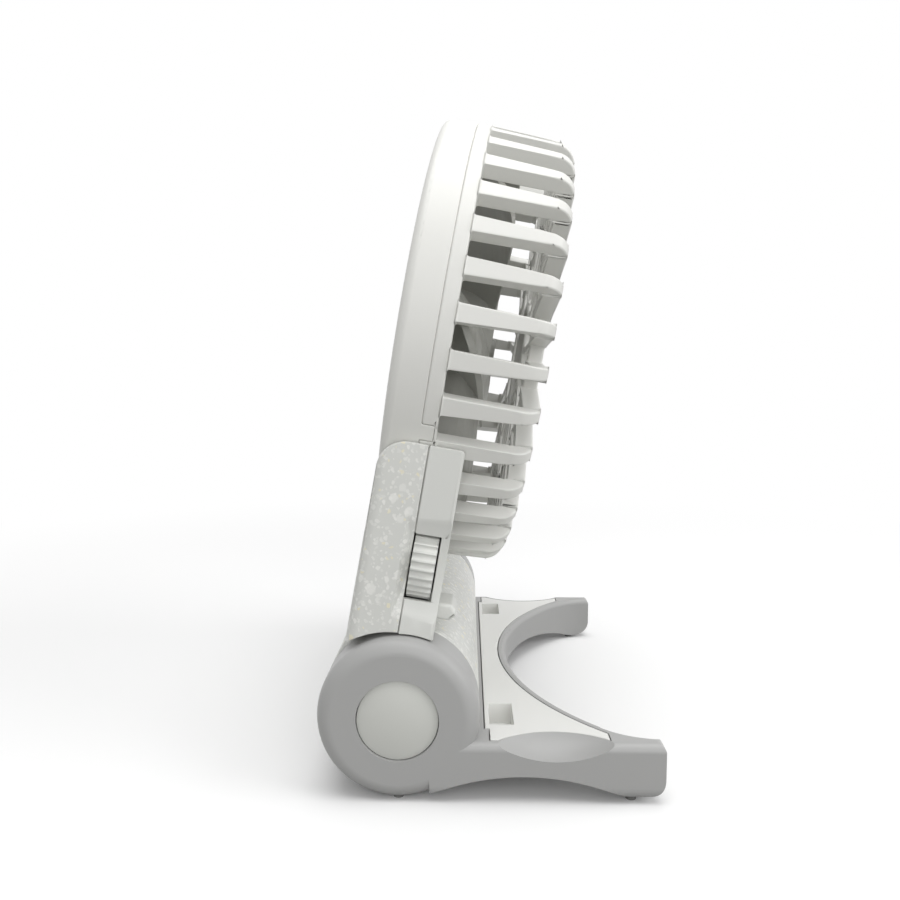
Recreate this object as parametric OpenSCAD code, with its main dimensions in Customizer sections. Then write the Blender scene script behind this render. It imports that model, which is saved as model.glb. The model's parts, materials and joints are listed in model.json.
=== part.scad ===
// Folding handheld fan that stands on its own forked base.
// The head and handle tip about a barrel hinge, and the base folds flat against the handle.
// +X is the way the air blows, +Z is up, and the origin is on the table under the middle of the part.

/* [Base] */
// Width of the base across the outer faces of the two knuckles
base_w = 101; // [97:1:112]
// Radius of the hinge knuckles and of the barrel between them
knuckle_r = 15.6; // [15.2:0.1:16.6]
// Thickness of each knuckle
knuckle_t = 9.8; // [9.4:0.1:11]
// Rounding of the outer rim of each knuckle
knuckle_round = 3; // [1:0.5:4]
// Reach of the leg tips in front of the hinge axis
leg_reach = 50.6; // [50:0.2:56]
// Depth of the legs' top face below the hinge axis
leg_drop = 4.3; // [4.3:0.1:5]
// Depth of the legs' underside below the hinge axis
leg_depth = 15.2; // [15:0.1:15.4]
// Rounding along the outer top edge of each leg
leg_round = 1.6; // [0.6:0.2:2.4]
// Corner radius under each leg tip
tip_low_r = 4; // [3:0.2:5]
// Rounding along the outer lower edge of each leg
leg_low_round = 2.4; // [0.6:0.2:3]
// Corner radius over each leg tip
tip_top_r = 1.5; // [0.8:0.1:2]
// Radius of the arch under the base
arch_r = 46; // [42:1:50]
// Height of the arch above the legs' underside
arch_h = 4.6; // [4:0.1:5.2]
// Radius that turns the arch into the flat under each leg tip
toe_r = 12; // [6:1:14]
// Growth of the hollow front edge's radius over the head's radius
fork_more_r = 10; // [8:0.5:12]
// Reach of the hollow front edge past the root of the head's rim, which tapers away from it
fork_set = 0.3; // [0.2:0.1:0.6]
// Width of each leg tip
tip_w = 4; // [3.5:0.25:5.5]
// Radius that turns the hollow front edge straight at the tips
tip_turn_r = 15; // [12:0.5:16]
// Rounding of the top edge round the hollow front
fork_round = 1.2; // [0.6:0.1:1.6]
// Height of the rubber feet under the knuckles
foot_h = 0.4; // [0.3:0.1:0.8]
// Radius of the rubber feet
foot_r = 1; // [0.8:0.1:1.2]

/* [Base plate] */
// Thickness of the inlaid plate
plate_t = 1.6; // [1.2:0.1:2]
// Distance of the plate's rear edge in front of the hinge axis
plate_x = 16.7; // [16.7:0.1:17]
// Distance of the plate's rear corners from the outer faces of the legs
plate_rear_side = 7; // [5.5:0.5:8.5]
// Distance of the plate's sides from the outer faces of the legs
plate_side = 2; // [2:0.25:3.5]
// Width of the rim left in front of the plate
plate_rim = 2.1; // [1.8:0.1:2.6]
// Gap round the plate, which shows as a dark line
plate_gap = 0.25; // [0.1:0.05:0.3]
// Length of a latch pocket along the plate's width
pocket_w = 10.2; // [9.8:0.1:11]
// Size of a latch pocket from back to front
pocket_l = 4.9; // [4.8:0.1:5.2]
// Depth of a latch pocket
pocket_d = 4.4; // [4.2:0.1:4.6]

/* [Finger scoops] */
// Radius of a finger scoop across the leg
scoop_r = 8; // [7.6:0.1:8.2]
// Radius of a finger scoop along the leg
scoop_long_r = 22.3; // [20:0.5:26]
// Distance of the scoops' middle in front of the hinge axis
scoop_x = 30; // [29:0.5:31]

/* [Handle] */
// Width of the handle
handle_w = 95; // [93:0.5:96]
// Distance of the handle's top shoulders below the fan axis
handle_drop = 20.5; // [18.5:0.5:22.5]
// Distance of the front cover's face in front of the hinge axis
front_n = 4.05; // [3.6:0.05:4.05]
// Distance of the seam between the covers behind the hinge axis
seam_n = 2.85; // [2.7:0.05:3]
// Distance of the back cover's face behind the hinge axis, at the top
back_top_n = 12; // [12:0.1:12.3]
// Distance of the back cover's face behind the hinge axis, at the bottom
back_low_n = 12.6; // [12.6:0.1:13]
// Radius of the back cover's top corner, seen from the side
back_top_r = 5.5; // [4:0.5:6]
// Rounding of the upright edges of the handle's back
back_side_r = 2.4; // [1:0.2:3]
// Thickness of the handle's walls
wall = 1.7; // [1.5:0.1:1.9]
// Width of the grooves that show as dark seams
seam_line = 0.25; // [0.2:0.05:0.35]
// Depth of the groove between the covers
seam_depth = 0.6; // [0.4:0.1:0.8]
// Width of the plain ring at each end of the barrel
end_ring_w = 2.6; // [2:0.1:3.4]
// Lean of the handle towards the front
lean = 9.7; // [0:0.1:12]

/* [Head] */
// Radius of the fan head at its back
head_r = 50; // [49:0.5:50]
// Distance of the head's rim from the hinge axis
head_rise = 22.6; // [22.4:0.1:24]
// Distance of the head's back face behind the hinge axis
head_back_n = 12.3; // [12.2:0.1:13]
// Distance of the seam between back shell and grille behind the hinge axis
head_seam_n = 4.9; // [4.6:0.1:5.2]
// Width of the closed band at the root of the grille
band_w = 3.05; // [2.4:0.05:3.4]
// Distance of the grille's front in front of the hinge axis
grille_front_n = 16.8; // [16.4:0.1:18]
// Number of long ribs
rib_count = 36; // [30:2:40]
// Width of a rib at its root
rib_root_w = 3.6; // [3:0.1:3.8]
// Width of a rib at the front corner
rib_front_w = 2.4; // [2:0.1:2.6]
// Depth of a rib from its outer to its inner edge
rib_depth = 3.3; // [3:0.1:4]
// Thickness of the ribs over the front
rib_front_t = 3.6; // [3:0.1:4]
// Radius of the ribs' outer corner
rib_corner_r = 4.2; // [3.5:0.1:4.5]
// Draft of the ribs towards the front, in degrees
rib_draft = 3.1; // [0:0.1:4]
// Radius of the middle ring of the front
mid_ring_r = 30; // [28:0.5:32]
// Radius of the ring round the hub cap
hub_ring_r = 13.5; // [13:0.5:15]

/* [Impeller and motor] */
// Number of blades
blade_count = 7; // [5:1:8]
// Distance of the blade tips from the head's rim
blade_gap = 6.4; // [6.2:0.2:8]
// Radius of the impeller's hub
hub_r = 13.6; // [13.4:0.1:14]
// Thickness of a blade
blade_t = 1.3; // [1:0.1:1.6]
// Radius of the motor shaft
shaft_r = 1; // [1:0.1:1.2]
// Radial running clearance of shafts and pins
run_gap = 0.04; // [0.02:0.01:0.08]

/* [Thumbwheel] */
// Radius of the thumbwheel over its ridges
wheel_r = 7; // [6.8:0.1:7.1]
// Width of the thumbwheel
wheel_w = 4.6; // [4.2:0.1:4.7]
// Number of ridges
wheel_ridges = 26; // [20:1:30]
// Distance of the thumbwheel's axis from the hinge axis, up the handle
wheel_l = 28.8; // [28.6:0.1:29.2]
// Depth of the thumb hollow round the wheel
thumb_d = 2; // [1.6:0.1:2.1]
// Length of the thumb hollow up the handle
thumb_len = 20.4; // [18:0.2:22]
// Height of the window that the wheel shows in
window_h = 12.8; // [12.6:0.1:13.4]
// Width of the window
window_w = 5.25; // [5.2:0.05:5.6]

/* [Latch hooks] */
// Width of a latch hook
hook_w = 8.6; // [8:0.1:9]
// Height of a latch hook at its root
hook_t = 3.3; // [3:0.1:3.3]
// Reach of a latch hook in front of the front cover
hook_reach = 3.65; // [3.4:0.05:3.7]
// Distance of the hooks' middle from the sides of the handle
hook_side = 10.9; // [10.5:0.1:11.5]
// Distance of the hooks' lower face from the hinge axis
hook_l = 17.75; // [17.7:0.05:17.9]

/* [Hinge and battery] */
// Radius of the round caps over the hinge screws
cap_r = 7.8; // [7.4:0.1:8.4]
// Radius of the hinge pins
pin_r = 3.5; // [3:0.1:3.8]
// Radius of the battery cell
cell_r = 9.15; // [9:0.05:9.3]
// Length of each spring contact at the ends of the battery cell
contact_len = 2.5; // [2:0.1:3]

/* [Hidden] */
$fn = 72;

// Clearances, and the overrun that every cut shares
over = 1;
hair = 0.05;
fixed_gap = 0.1;
slot_gap = 0.2;
swing_gap = 0.3;

// Base
hinge_h = knuckle_r + foot_h;
hinge_x = (knuckle_r - leg_reach) / 2;
half_w = base_w / 2;
knuckle_in = half_w - knuckle_t;
tip_gap = base_w - 2 * tip_w;
barrel_gap_r = knuckle_r + swing_gap + fixed_gap;
leg_start = 6;
bridge_x = 12.2;
arch_cz = arch_h - leg_depth - arch_r;
arch_cx = sqrt(pow(arch_r + knuckle_r - hair, 2) - arch_cz * arch_cz);
toe_cz = toe_r - leg_depth - hair;
toe_cx = arch_cx + sqrt(pow(arch_r + toe_r - hair, 2) - pow(toe_cz - arch_cz, 2));
fork_r = head_r + fork_more_r;
fork_x = head_rise + fork_set;
fork_cx = fork_x + fork_r;
turn_cy = tip_gap / 2 - tip_turn_r;
turn_cx = fork_cx - sqrt(pow(fork_r - tip_turn_r, 2) - turn_cy * turn_cy);
turn_y = turn_cy * fork_r / (fork_r - tip_turn_r);
scoop_off = 1;
scoop_lift = 4.6;
scoop_cy = half_w + scoop_off;
scoop_cz = scoop_lift - leg_drop;
scoop_in_y = scoop_cy - sqrt(scoop_r * scoop_r - scoop_lift * scoop_lift);
foot_back = 6;
foot_x = leg_reach - foot_back;
foot_y = half_w - leg_low_round - foot_r / 2;
foot_set = 1.2;

// Plate and its screws
plate_w = base_w - 2 * plate_side;
plate_rear_w = base_w - 2 * plate_rear_side;
plate_step = 0.9;
plate_end_x = 40.4;
plate_side_r = 17.4;
plate_land = 0.4;
plate_side_y = scoop_in_y - plate_land;
plate_arc_r = fork_r + plate_rim;
plate_low = leg_drop + plate_t;
pocket_x = plate_x + plate_step;
pocket_wall = 0.8;
plate_boss_r = 2;
plate_boss_h = 1.3;
plate_floor_t = 1.5;
plate_seat = plate_low + plate_boss_h + plate_floor_t;
plate_mid_x = 19.1;
plate_mid_y = 12;
plate_far_x = 27.5;
plate_far_y = 38;
screw_r = 0.8;
screw_head_r = 1.7;
screw_head_h = 1.2;
slot_w = 0.7;
slot_d = 0.6;

// Hinge hardware, along the hinge axis
knuckle_wall = 3.8;
bush_r = 5;
bush_flange_r = 6.2;
bush_flange_t = 0.7;
washer_r = 5.8;
washer_t = 0.6;
bush_end = knuckle_in + knuckle_wall;
washer_end = bush_end + bush_flange_t + washer_t + hair;
hinge_screw_r = 1.2;
hinge_head_r = 4.4;
hinge_head_h = 1.3;
cap_t = 1.2;
cap_proud = 0.2;
cap_dome = 0.9;
cap_dome_r = (cap_r * cap_r + cap_dome * cap_dome) / (2 * cap_dome);
cap_depth = 2.8;
cap_ledge = 0.8;
cap_skirt = 0.9;
pin_inset = 4.4;
plug_t = 5.4;

// Handle
handle_y = handle_w / 2;
head_l = head_r + head_rise;
handle_top = head_l - handle_drop;
barrel_half = knuckle_in - swing_gap;
barrel_in_r = knuckle_r - wall;
side_low_r = knuckle_r + swing_gap;
side_back_n = 2;
head_gap_r = head_r + swing_gap;
cradle_r = head_gap_r + wall;
flare_a = 18;
flare_l = knuckle_r * sin(flare_a) + (knuckle_r * cos(flare_a) - back_low_n) / tan(flare_a);
front_edge_r = 0.8;
inner_n = front_n - wall;
cell_rib_t = 1.4;
cell_rib_y = 20;
cell_len = 2 * (barrel_half - plug_t - contact_len);
contact_r = 9.5;
contact_t = 0.4;
contact_bump_r = 2.4;

// Screws through the handle, and the ears of the head that they clamp
low_screw_in = 19.5;
low_screw_y = handle_y - low_screw_in;
low_screw_l = 20.5;
low_boss_r = 2.4;
top_screw_in = 3.8;
top_screw_y = handle_y - top_screw_in;
top_boss_r = 2;
top_screw_l = head_l - sqrt(pow(cradle_r + top_boss_r, 2) - top_screw_y * top_screw_y);
handle_screw_len = 11.5;
ear_w = 6.4;
ear_back_n = 7.4;
ear_t = 2.2;
ear_low_l = 18.4;
ear_high_l = 40;

// Thumbwheel, boards and socket
window_n = window_w - seam_n;
wheel_mid_n = (window_n - seam_n) / 2;
thumb_floor = handle_y - thumb_d;
thumb_hollow_r = (pow(thumb_len / 2, 2) + thumb_d * thumb_d) / (2 * thumb_d);
thumb_fade = 60;
thumb_end = 1.8;
wheel_proud = 2.9;
wheel_y = thumb_floor + wheel_proud - wheel_r;
ridge_r = 0.62;
wheel_room = 0.5;
dial_shaft_r = 1.5;
dial_shaft_n = 6.8;
board_t = 1.2;
board_n = 9;
board_w = 20;
board_in_y = thumb_floor - wall - slot_gap - board_w;
board_out_y = thumb_floor - wall - slot_gap;
board_low_l = side_low_r + wall + slot_gap;
board_top_gap = 0.4;
board_top_l = min(top_screw_l - top_boss_r, handle_top - wall) - board_top_gap;
post_r = 1.1;
post_in = 5.6;
post_y = handle_y - post_in;
post_edge = 2;
post_high_l = board_top_l - post_edge;
post_low_l = 19.6;
post_step = 0.8;
control_w = 4.4;
control_l = 8;
control_t = 4.4;
usb_w = 9;
usb_t = 3.2;
usb_len = 7.2;
usb_shell = 0.35;
usb_tongue_t = 0.7;
usb_l = 27;
usb_n = usb_t / 2 + board_t - board_n;
usb_deep = 0.7;
usb_end = handle_y - usb_deep;

// Latch hooks
hook_y = handle_y - hook_side;
hook_flange_t = 1.2;
hook_flange_w = 1.3;
hook_chamfer = 1;
hook_slot_up = 0.9;

// Head
root_n = band_w - head_seam_n;
shell_wall = 1.7;
shell_in_r = head_r - shell_wall;
spigot_t = 1.5;
spigot_l = 2.5;
band_t = 4;
tab_w = 3.2;
tab_n = 2.6;
tab_drop = 18.4;
tab_angle = acos(tab_drop / head_r);
inner_corner_r = 1.2;
rib_sink = 0.25;
ring_step = 0.25;
inner_rib_w = 1.6;
mid_rib_w = 1.9;
mid_ring_t = 2;
hub_ring_t = 1.9;
hub_cap_t = 1.6;
hub_cap_proud = 0.5;
hub_cap_edge = 0.4;
vent_in_r = 17;
vent_rim = 6.5;
vent_out_r = head_r - vent_rim;
vent_ring_r = 31;
vent_ring_t = 1.8;
vent_count = 36;
vent_rib_w = 1.7;
lead_rib_w = 4.4;
back_edge_r = 2;

// Motor, along the fan axis
base_r = 11;
base_disc_t = 1.2;
plate_in_n = shell_wall - head_back_n;
tube_r = 3.6;
bearing_r = 3;
bearing_len = 3;
tube_top_n = 3.5;
core_r = 9.8;
core_low_n = -6.6;
core_t = 5.6;
tooth_count = 9;
tooth_w = 2;
tooth_tip_t = 1;
coil_t = 0.9;
coil_in_r = 6.3;
coil_out_r = 8.6;
yoke_r = 5.4;
magnet_t = 1.3;
magnet_low_n = -7.4;
magnet_len = 7.2;
can_t = 0.8;
can_low_n = -8.4;
can_top_n = 4.6;
hub_low_n = -8;
hub_wall = 1.3;
hub_top_t = 1.6;
nose_r = 3;
hub_in_r = hub_r - hub_wall;
motor_screw_at = 8;
motor_screw_in = 0.9;
lead_r = 0.6;
lead_y = 0.9;
lead_low_l = 18;
lead_top_l = head_l - base_r - hair;
lead_step_l = 1.6;
shaft_low_n = -9;
shaft_top_n = 7.4;

// Blades: stations from hub to tip and steps along the chord
blade_r = head_r - blade_gap;
blade_stations = 6;
blade_steps = 8;
blade_mid_n = -0.6;
blade_sink = 0.8;
root_pitch = 47;
tip_pitch = 26;
root_chord = 17;
tip_chord = 31;
tip_sweep = 16;
camber_share = 0.09;
edge_share = 0.3;

// Frames of the hinge, of the leaning handle and of the fan axis
module at_hinge() translate([hinge_x, 0, hinge_h]) children();
module in_handle() at_hinge() rotate([0, lean, 0]) children();
module to_fan_axis() translate([0, 0, head_l]) rotate([0, 90, 0]) children();
module on_fan_axis() in_handle() to_fan_axis() children();
module both_sides() {
    children();
    mirror([0, 1, 0]) children();
}

// Outlines pushed out along one axis, and bars and tubes along Y
module across(width) rotate([90, 0, 0]) translate([0, 0, -width / 2]) linear_extrude(width) children();
module along_n(n_from, n_to) translate([n_from, 0, 0]) rotate([90, 0, 90]) linear_extrude(n_to - n_from)
    children();
module outward_from(y) translate([0, y, 0]) rotate([-90, 0, 0]) children();
module y_bar(r, from, to) outward_from(from) cylinder(r = r, h = to - from);
module y_tube(r_out, r_in, from, to) difference() {
    y_bar(r_out, from, to);
    y_bar(r_in, from - over, to + over);
}
module z_rod(r, from, to) translate([0, 0, from]) cylinder(r = r, h = to - from);
module z_tube(r_out, r_in, from, to) difference() {
    z_rod(r_out, from, to);
    z_rod(r_in, from - over, to + over);
}

// Cutter that rounds the edge of an opening, r from its middle, whose face is at height 0
module edge_corner(r, round_r) difference() {
    translate([r - over, -round_r]) square([over + round_r, round_r + over]);
    translate([r + round_r, -round_r]) circle(round_r);
}
module edge_ring(r, round_r) rotate_extrude($fn = 144) edge_corner(r, round_r);

// Screw with a slotted head, its head's seat at height 0 and its shank upwards
module slotted_screw(shank_r, shank_len, head_r, head_h) {
    z_rod(shank_r, -head_h / 3, shank_len);
    difference() {
        z_rod(head_r, -head_h, 0);
        translate([-head_r, -slot_w / 2, -head_h - over]) cube([2 * head_r, slot_w, slot_d + over]);
    }
}

// Side outline of a leg, which starts inside the knuckle disc
module leg_outline() difference() {
    union() {
        translate([leg_start, -leg_depth]) square([leg_reach - tip_low_r - leg_start, leg_depth - leg_drop]);
        translate([leg_start, tip_low_r - leg_depth])
            square([leg_reach - leg_start, leg_depth - leg_drop - tip_low_r - tip_top_r]);
        translate([leg_start, -leg_drop - tip_top_r]) square([leg_reach - tip_top_r - leg_start, tip_top_r]);
        translate([leg_reach - tip_low_r, tip_low_r - leg_depth]) circle(tip_low_r);
        translate([leg_reach - tip_top_r, -leg_drop - tip_top_r]) circle(tip_top_r);
    }
    translate([arch_cx, arch_cz]) circle(arch_r, $fn = 180);
    difference() {
        polygon([[toe_cx, toe_cz], [arch_cx, arch_cz], [toe_cx, arch_cz]]);
        translate([toe_cx, toe_cz]) circle(toe_r);
    }
}

// Cross-section over both legs, with the outer edges rounded at the top and underneath
module base_section() {
    side_h = leg_depth - leg_drop - leg_round - leg_low_round;
    translate([-half_w, leg_low_round - leg_depth]) square([base_w, side_h]);
    translate([leg_round - half_w, -leg_drop - leg_round]) square([base_w - 2 * leg_round, leg_round]);
    translate([leg_low_round - half_w, -leg_depth]) square([base_w - 2 * leg_low_round, leg_low_round]);
    for (side = [-1, 1]) {
        translate([side * (half_w - leg_round), -leg_drop - leg_round]) circle(leg_round);
        translate([side * (half_w - leg_low_round), leg_low_round - leg_depth]) circle(leg_low_round);
    }
}

// Cuts that open the gap between the legs: the hollow front edge, the turns to the tips and the gap there
module fork_hollow() translate([0, 0, -leg_depth - over]) intersection() {
    translate([fork_cx, 0, 0]) cylinder(r = fork_r, h = leg_depth + over, $fn = 180);
    translate([0, -turn_y, 0]) cube([fork_cx, 2 * turn_y, leg_depth + over]);
}
module tip_turns() both_sides() translate([0, 0, -leg_depth - over]) intersection() {
    translate([turn_cx, turn_cy, 0]) cylinder(r = tip_turn_r, h = leg_depth + over);
    translate([0, turn_y, 0]) cube([turn_cx, tip_turn_r, leg_depth + over]);
}
module tip_opening() translate([turn_cx, -tip_gap / 2, -leg_depth - over])
    cube([leg_reach, tip_gap, leg_depth + over]);

// Cutters that round the top edge along the hollow front, its turns and the inner sides of the tips
module hollow_rounding() translate([0, 0, -leg_drop]) intersection() {
    translate([fork_cx, 0, 0]) edge_ring(fork_r, fork_round);
    translate([0, -turn_y, -leg_drop]) cube([fork_cx, 2 * turn_y, 2 * leg_drop]);
}
module turn_rounding() both_sides() translate([0, 0, -leg_drop - hair]) intersection() {
    translate([turn_cx, turn_cy, 0]) edge_ring(tip_turn_r + hair, fork_round);
    translate([0, turn_y - hair, -leg_drop]) cube([turn_cx, tip_turn_r, 2 * leg_drop]);
}
module tip_rounding() both_sides() translate([turn_cx - hair, tip_gap / 2, -leg_drop - 2 * hair])
    rotate([90, 0, 90]) linear_extrude(leg_reach) edge_corner(2 * hair, fork_round);

// Spindle that hollows a leg's outer top edge for a finger
module finger_scoop() translate([scoop_x, scoop_cy, scoop_cz]) rotate([0, 90, 0]) rotate_extrude()
    intersection() {
        translate([scoop_r - scoop_long_r, 0]) circle(scoop_long_r, $fn = 144);
        translate([0, -scoop_long_r]) square([scoop_r, 2 * scoop_long_r]);
    }

// Disc of one knuckle, with its outer rim rounded
module knuckle_disc() outward_from(knuckle_in) rotate_extrude() difference() {
    square([knuckle_r, knuckle_t]);
    translate([knuckle_r - knuckle_round, knuckle_t - knuckle_round]) difference() {
        square([knuckle_round + over, knuckle_round + over]);
        circle(knuckle_round);
    }
}

// Outline of the inlaid plate, grown for its recess
module plate_outline(grow = 0) difference() {
    union() {
        translate([plate_x - grow, -plate_rear_w / 2 - grow]) square([leg_reach, plate_rear_w + 2 * grow]);
        translate([plate_x + plate_step - grow, -plate_w / 2 - grow]) square([leg_reach, plate_w + 2 * grow]);
    }
    translate([fork_cx, 0]) circle(plate_arc_r - grow, $fn = 180);
    translate([plate_end_x + grow, -base_w]) square([leg_reach, 2 * base_w]);
    for (side = [-1, 1]) translate([scoop_x, side * (plate_side_y + plate_side_r)])
        circle(plate_side_r - grow);
}

module at_plate_screws() both_sides() {
    translate([plate_mid_x, plate_mid_y, 0]) children();
    translate([plate_far_x, plate_far_y, 0]) children();
}

module at_feet() both_sides() translate([0, foot_y, -hinge_h]) {
    children();
    translate([foot_x, 0, 0]) children();
}

// Block of a latch pocket, from the plate's face down
module pocket_block(grow, depth) both_sides()
    translate([pocket_x - grow, hook_y - pocket_w / 2 - grow, -leg_drop - depth])
        cube([pocket_l + 2 * grow, pocket_w + 2 * grow, depth]);

module base_yoke() color("#a3a3a1") at_hinge() difference() {
    union() {
        intersection() {
            across(base_w) leg_outline();
            rotate([90, 0, 90]) linear_extrude(leg_reach + over) base_section();
        }
        both_sides() knuckle_disc();
    }
    y_bar(barrel_gap_r, -knuckle_in, knuckle_in);
    translate([0, -knuckle_in, -hinge_h]) cube([bridge_x, 2 * knuckle_in, hinge_h]);
    fork_hollow();
    tip_turns();
    tip_opening();
    hollow_rounding();
    turn_rounding();
    tip_rounding();
    both_sides() finger_scoop();
    translate([0, 0, -plate_low]) linear_extrude(plate_t + over) plate_outline(plate_gap);
    translate([0, 0, hair]) pocket_block(pocket_wall + fixed_gap, pocket_d + pocket_wall + fixed_gap + hair);
    at_plate_screws() {
        z_rod(plate_boss_r + fixed_gap, -plate_low - plate_boss_h, -leg_drop);
        z_rod(screw_r + hair, -leg_depth, -leg_drop);
        z_rod(screw_head_r + fixed_gap, -leg_depth, -plate_seat);
    }
    both_sides() {
        y_bar(bush_r, knuckle_in - over, half_w);
        y_bar(cap_r - cap_ledge, bush_end, half_w);
        y_bar(cap_r + fixed_gap, half_w - cap_depth, half_w + over);
    }
    at_feet() z_rod(foot_r, 0, foot_h + foot_set);
}

// Inlaid plate with its two latch pockets and four screw bosses
module base_plate() color("#f2f2ee") at_hinge() difference() {
    union() {
        translate([0, 0, -plate_low]) linear_extrude(plate_t) plate_outline();
        pocket_block(pocket_wall, pocket_d + pocket_wall);
        at_plate_screws() z_rod(plate_boss_r, -plate_low - plate_boss_h, -leg_drop - plate_t / 2);
    }
    translate([0, 0, over]) pocket_block(0, pocket_d + over);
    at_plate_screws() z_rod(screw_r, -plate_seat, -leg_drop - plate_t / 2);
}

module base_plate_screws() color("#8d8d8d") at_hinge() at_plate_screws() translate([0, 0, -plate_seat])
    slotted_screw(screw_r, plate_seat - leg_drop - plate_t / 2, screw_head_r, screw_head_h);

// Slightly domed cap over each hinge screw
module knuckle_caps() color("#dadad6") at_hinge() both_sides() outward_from(half_w - cap_depth)
    rotate_extrude() difference() {
        intersection() {
            square([cap_r, cap_depth + cap_proud]);
            translate([0, cap_depth + cap_proud - cap_dome_r]) circle(cap_dome_r, $fn = 180);
        }
        translate([0, -over]) square([cap_r - cap_skirt, cap_depth - cap_t + over]);
    }

module hinge_bushes() color("#c9c3ae") at_hinge() both_sides() difference() {
    union() {
        y_bar(bush_r, knuckle_in, bush_end + hair);
        y_bar(bush_flange_r, bush_end, bush_end + bush_flange_t);
    }
    y_bar(pin_r + run_gap, knuckle_in - over, half_w);
}

module hinge_pins() color("#b9bcc0") at_hinge() both_sides()
    y_tube(pin_r, hinge_screw_r, barrel_half - pin_inset, washer_end);

module friction_washers() color("#8f9296") at_hinge() both_sides()
    y_tube(washer_r, pin_r + hair, washer_end - washer_t, washer_end);

module hinge_screws() color("#7f8286") at_hinge() both_sides()
    translate([0, washer_end, 0]) rotate([90, 0, 0])
        slotted_screw(hinge_screw_r, washer_end - barrel_half + pin_inset - over, hinge_head_r, hinge_head_h);

module rubber_feet() color("#6f6f6d") at_hinge() at_feet() z_rod(foot_r, 0, foot_h + foot_set);

// Handle in its own frame: N points out of its front and L runs up it
module handle_section() {
    depth = front_n + back_low_n;
    translate([-back_low_n, back_side_r - handle_y]) square([depth, handle_w - 2 * back_side_r]);
    translate([back_side_r - back_low_n, -handle_y]) square([depth - back_side_r - front_edge_r, handle_w]);
    translate([back_side_r - back_low_n, front_edge_r - handle_y])
        square([depth - back_side_r, handle_w - 2 * front_edge_r]);
    for (side = [-1, 1]) {
        translate([back_side_r - back_low_n, side * (handle_y - back_side_r)]) circle(back_side_r);
        translate([front_n - front_edge_r, side * (handle_y - front_edge_r)]) circle(front_edge_r);
    }
}

module back_outline(inset = 0) {
    polygon([[-seam_n, 0], [-seam_n, handle_top - inset], [back_top_r - back_top_n, handle_top - inset],
        [inset - back_top_n, handle_top - back_top_r], [inset - back_low_n, flare_l],
        [inset - knuckle_r * cos(flare_a), knuckle_r * sin(flare_a)], [inset - knuckle_r, 0]]);
    intersection() {
        translate([back_top_r - back_top_n, handle_top - back_top_r]) circle(back_top_r - inset);
        translate([-back_top_n, handle_top - back_top_r]) square(back_top_r);
    }
}

module front_outline() {
    translate([-seam_n, 0]) square([front_n + seam_n, handle_top - front_edge_r]);
    translate([-seam_n, 0]) square([front_n + seam_n - front_edge_r, handle_top]);
    translate([front_n - front_edge_r, handle_top - front_edge_r]) circle(front_edge_r);
}

module n_rod(r, n_from, n_to, y, l) translate([n_from, y, l]) rotate([0, 90, 0])
    cylinder(r = r, h = n_to - n_from);
module head_rod(r) n_rod(r, -head_r, head_r, 0, head_l);
module knuckle_room(r) both_sides() y_bar(r, barrel_half, half_w);
module knuckle_back_room(r) translate([-side_back_n, 0, 0]) knuckle_room(r);
module low_posts(r, n_from, n_to) both_sides() n_rod(r, n_from, n_to, low_screw_y, low_screw_l);
module top_posts(r, n_from, n_to) both_sides() n_rod(r, n_from, n_to, top_screw_y, top_screw_l);

// Hollow round the thumbwheel, which gets a little shallower to the rear and ends past the seam
module thumb_hollow(grow = 0) intersection() {
    translate([front_n, -thumb_floor - thumb_hollow_r, wheel_l])
        rotate([0, 0, atan(thumb_d / thumb_fade)]) rotate([0, 90, 0])
            cylinder(r = thumb_hollow_r + grow, h = 4 * handle_w, center = true, $fn = 144);
    translate([-seam_n - thumb_end, -handle_y, wheel_l - thumb_len]) rotate([0, 0, atan(thumb_d / thumb_end)])
        translate([-thumb_len, -handle_w, 0]) cube([handle_w, handle_w + grow, 2 * thumb_len]);
}

// Groove along the outside of the front cover, which marks its seam with the back cover
module seam_groove() {
    along_n(-seam_n - over, seam_line - seam_n) difference() {
        translate([-half_w, 0]) square([base_w, handle_top + over]);
        translate([seam_depth - handle_y, 0]) square([handle_w - 2 * seam_depth, handle_top - seam_depth]);
    }
    intersection() {
        translate([-seam_n - over, -handle_y - over, 0]) cube([seam_line + over, handle_y, handle_top]);
        thumb_hollow(seam_depth);
    }
}

// Grooves that part the barrel's end rings from the rest of it
module ring_grooves() both_sides() y_tube(knuckle_r + over, knuckle_r - seam_line,
    barrel_half - end_ring_w, barrel_half - end_ring_w + seam_line);

// Ears of the head, which the lower screws clamp between the covers
module ears(grow = 0) both_sides()
    translate([-ear_back_n - grow, low_screw_y - ear_w / 2 - grow, ear_low_l - grow])
        cube([ear_t + 2 * grow, ear_w + 2 * grow, ear_high_l - ear_low_l]);

// Outline of the charging socket: a slot with round ends
module usb_outline(grow = 0) {
    for (end = [-1, 1]) translate([0, end * (usb_w - usb_t) / 2]) circle(usb_t / 2 + grow);
    translate([-usb_t / 2 - grow, (usb_t - usb_w) / 2]) square([usb_t + 2 * grow, usb_w - usb_t]);
}

// Mouth of the charging socket in the side wall
module usb_port() translate([usb_n, 0, usb_l]) {
    for (end = [-1, 1]) translate([0, 0, end * (usb_w - usb_t) / 2])
        y_bar(usb_t / 2 + fixed_gap, handle_y / 2, handle_y + over);
    translate([-usb_t / 2 - fixed_gap, handle_y / 2, (usb_t - usb_w) / 2])
        cube([usb_t + 2 * fixed_gap, handle_y, usb_w - usb_t]);
}

// Wires from the motor, down the head and across to the control board
module motor_wires(r) for (side = [-1, 1]) translate([plate_in_n + lead_r, side * lead_y, 0]) {
    z_rod(r, lead_low_l - side * lead_step_l / 2, lead_top_l);
    translate([0, 0, lead_low_l - side * lead_step_l / 2]) {
        sphere(r);
        y_bar(r, -board_in_y - lead_r - side * lead_y, 0);
    }
}

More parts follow.
